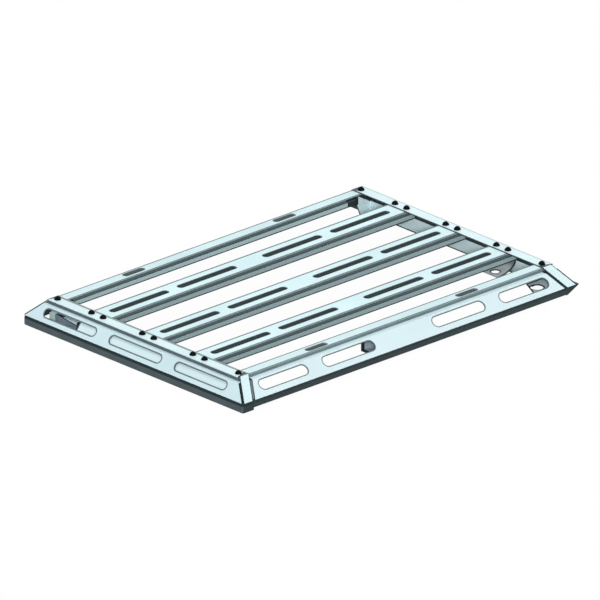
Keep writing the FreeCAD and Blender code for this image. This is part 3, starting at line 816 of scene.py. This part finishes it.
black_steel = mottled_coat("bolt_black_steel", BLACK_STEEL, BOLT_STEEL, shine=STEEL_SHINE)
for end, sign in ENDS:
    low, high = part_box(f"{end}_beam")
    edge = low.x if sign < 0 else high.x
    places = [low.y + BOLT_CORNER_INSET, high.y - BOLT_CORNER_INSET]
    for name in SLATS:
        slat_low, slat_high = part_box(name)
        middle = (slat_low.y + slat_high.y) / 2
        places += [middle - BOLT_PAIR_SPACING / 2, middle + BOLT_PAIR_SPACING / 2]
    for i, y in enumerate(sorted(places)):
        mesh = bolt_mesh()
        spot = Matrix.Translation((edge - sign * BOLT_INSETS[end], y, high.z))
        mesh.transform(spot @ Matrix.Rotation(BOLT_TURN * i, 4, "Z"))
        add_piece(f"{end}_bolt_{i + 1}", mesh, black_steel)


def reveal_strip_profile(height):
    """A flat-backed bead with a rounded front, as (out, up) pairs."""
    profile = [(0.0, 0.0), (0.0, height)]
    for i in range(REVEAL_STRIP_STEPS + 1):
        angle = math.pi * (0.5 - i / REVEAL_STRIP_STEPS)
        out = REVEAL_STRIP_BASE + (REVEAL_STRIP_PROUD - REVEAL_STRIP_BASE) * math.cos(angle)
        profile.append((out, height / 2 * (1 + math.sin(angle))))
    return profile


def strip_mesh(name, profile, start, stop):
    """A closed profile of (out, up) pairs pulled along a line, with out pointing to the line's right."""
    out = (stop - start).normalized().cross(UP)
    bm = bmesh.new()
    loops = []
    for point in (start, stop):
        loops.append([bm.verts.new(point + out * a + UP * b) for a, b in profile])
    return closed_mesh(name, bm, loops)


# Dark strips in the reveals between the deck and the sloped panels: painted shade, darker at the ends than
# along the sides
end_strip_shade = mottled_coat("end_reveal_shade", END_REVEAL_SHADE, REVEAL_STRIP_FINISH)
side_strip_shade = mottled_coat("side_reveal_shade", SIDE_REVEAL_SHADE, REVEAL_STRIP_FINISH)
for end, sign in ENDS:
    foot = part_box(f"{end}_panel")[1].z
    reach = RAIL_FACE + END_STRIP_PAST_RAIL
    start = Vector((sign * WEB_FACE, -sign * reach, foot))
    stop = Vector((sign * WEB_FACE, sign * reach, foot))
    mesh = strip_mesh(f"{end}_reveal_strip", reveal_strip_profile(deck - foot), start, stop)
    add_piece(f"{end}_reveal_strip", mesh, end_strip_shade)
for side, sign in SIDES:
    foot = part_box(f"{side}_panel")[1].z
    low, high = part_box(f"{side}_rail")
    start = Vector((sign * high.x, sign * RAIL_FACE, foot))
    stop = Vector((sign * low.x, sign * RAIL_FACE, foot))
    mesh = strip_mesh(f"{side}_reveal_strip", reveal_strip_profile(high.z - SHEET - foot), start, stop)
    add_piece(f"{side}_reveal_strip", mesh, side_strip_shade)


def floor_material():
    """White to the eye and in reflections, with the soft shadow kept, and darker in its bounce light."""
    g = Graph("floor_white")
    ray = g.node("ShaderNodeLightPath").outputs
    seen = g.either(ray["Is Camera Ray"], g.either(ray["Is Glossy Ray"], ray["Is Transmission Ray"]))
    diffuse = g.node("ShaderNodeBsdfDiffuse", {"Color": g.mix(seen, FLOOR_BOUNCE, FLOOR_SEEN)})
    glow = g.node("ShaderNodeEmission", {"Color": WHITE, "Strength": 1.0})
    parts = {0: g.times(seen, FLOOR_GLOW), 1: diffuse.outputs[0], 2: glow.outputs[0]}
    mixed = g.node("ShaderNodeMixShader", parts)
    g.feed(g.tree.nodes["Material Output"].inputs["Surface"], mixed.outputs[0])
    g.tree.nodes.remove(g.shader)
    return g.material


corners = [(-FLOOR_SPAN, -FLOOR_SPAN), (FLOOR_SPAN, -FLOOR_SPAN), (FLOOR_SPAN, FLOOR_SPAN),
           (-FLOOR_SPAN, FLOOR_SPAN)]
floor_mesh = bpy.data.meshes.new("floor")
floor_mesh.from_pydata([(x, y, FLOOR_LEVEL) for x, y in corners], [], [(0, 1, 2, 3)])
floor_mesh.materials.append(floor_material())
floor = bpy.data.objects.new("floor", floor_mesh)
scene.collection.objects.link(floor)
floor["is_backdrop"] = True

# World: white to the eye and in reflections, and a lower even light on the basket
world = bpy.data.worlds.new("studio")
scene.world = world
world.use_nodes = True
sky = world.node_tree
background = sky.nodes["Background"]
ray = sky.nodes.new("ShaderNodeLightPath")
seen = sky.nodes.new("ShaderNodeMath")
seen.operation = "MAXIMUM"
sky.links.new(ray.outputs["Is Camera Ray"], seen.inputs[0])
sky.links.new(ray.outputs["Is Glossy Ray"], seen.inputs[1])
strength = sky.nodes.new("ShaderNodeMapRange")
strength.inputs["To Min"].default_value = AMBIENT_LEVEL
strength.inputs["To Max"].default_value = 1.0
sky.links.new(seen.outputs[0], strength.inputs["Value"])
sky.links.new(strength.outputs[0], background.inputs["Strength"])
background.inputs["Color"].default_value = WHITE


def add_sun(name, towards_light, level, softness):
    """A distant soft lamp.

    level is the light on a face turned to it, where 1 shows a colour as written. softness is the
    width of the lamp in degrees.
    """
    lamp = bpy.data.lights.new(name, "SUN")
    lamp.energy = math.pi * level
    lamp.angle = math.radians(softness)
    holder = bpy.data.objects.new(name, lamp)
    holder.rotation_mode = "QUATERNION"
    holder.rotation_quaternion = Vector(towards_light).to_track_quat("Z", "Y")
    scene.collection.objects.link(holder)


add_sun("key", towards_light=(-0.632, -0.673, 0.384), level=0.68, softness=12.0)
add_sun("top", towards_light=(0.0, 0.0, 1.0), level=0.35, softness=40.0)
add_sun("fill", towards_light=(0.600, 0.650, 0.350), level=0.24, softness=40.0)

# Camera, placed so that the reference point falls on the reference pixel
ahead = UP.cross(CAMERA_RIGHT)
forward = ahead * math.cos(CAMERA_ELEVATION) - UP * math.sin(CAMERA_ELEVATION)
camera_up = CAMERA_RIGHT.cross(forward)
shift_right = (IMAGE_SIZE / 2 - REFERENCE_PIXEL[0]) * METRES_PER_PIXEL
shift_up = (REFERENCE_PIXEL[1] - IMAGE_SIZE / 2) * METRES_PER_PIXEL
target = REFERENCE_POINT + CAMERA_RIGHT * shift_right + camera_up * shift_up
camera_data = bpy.data.cameras.new("camera")
camera_data.type = "ORTHO"
camera_data.ortho_scale = IMAGE_SIZE * METRES_PER_PIXEL
camera_data.clip_end = CAMERA_CLIP_END
camera = bpy.data.objects.new("camera", camera_data)
camera_axes = Matrix((CAMERA_RIGHT, camera_up, -forward)).transposed()
camera.matrix_world = Matrix.Translation(target - forward * CAMERA_DISTANCE) @ camera_axes.to_4x4()
scene.collection.objects.link(camera)
scene.camera = camera

scene.view_settings.view_transform = "Standard"

low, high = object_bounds()
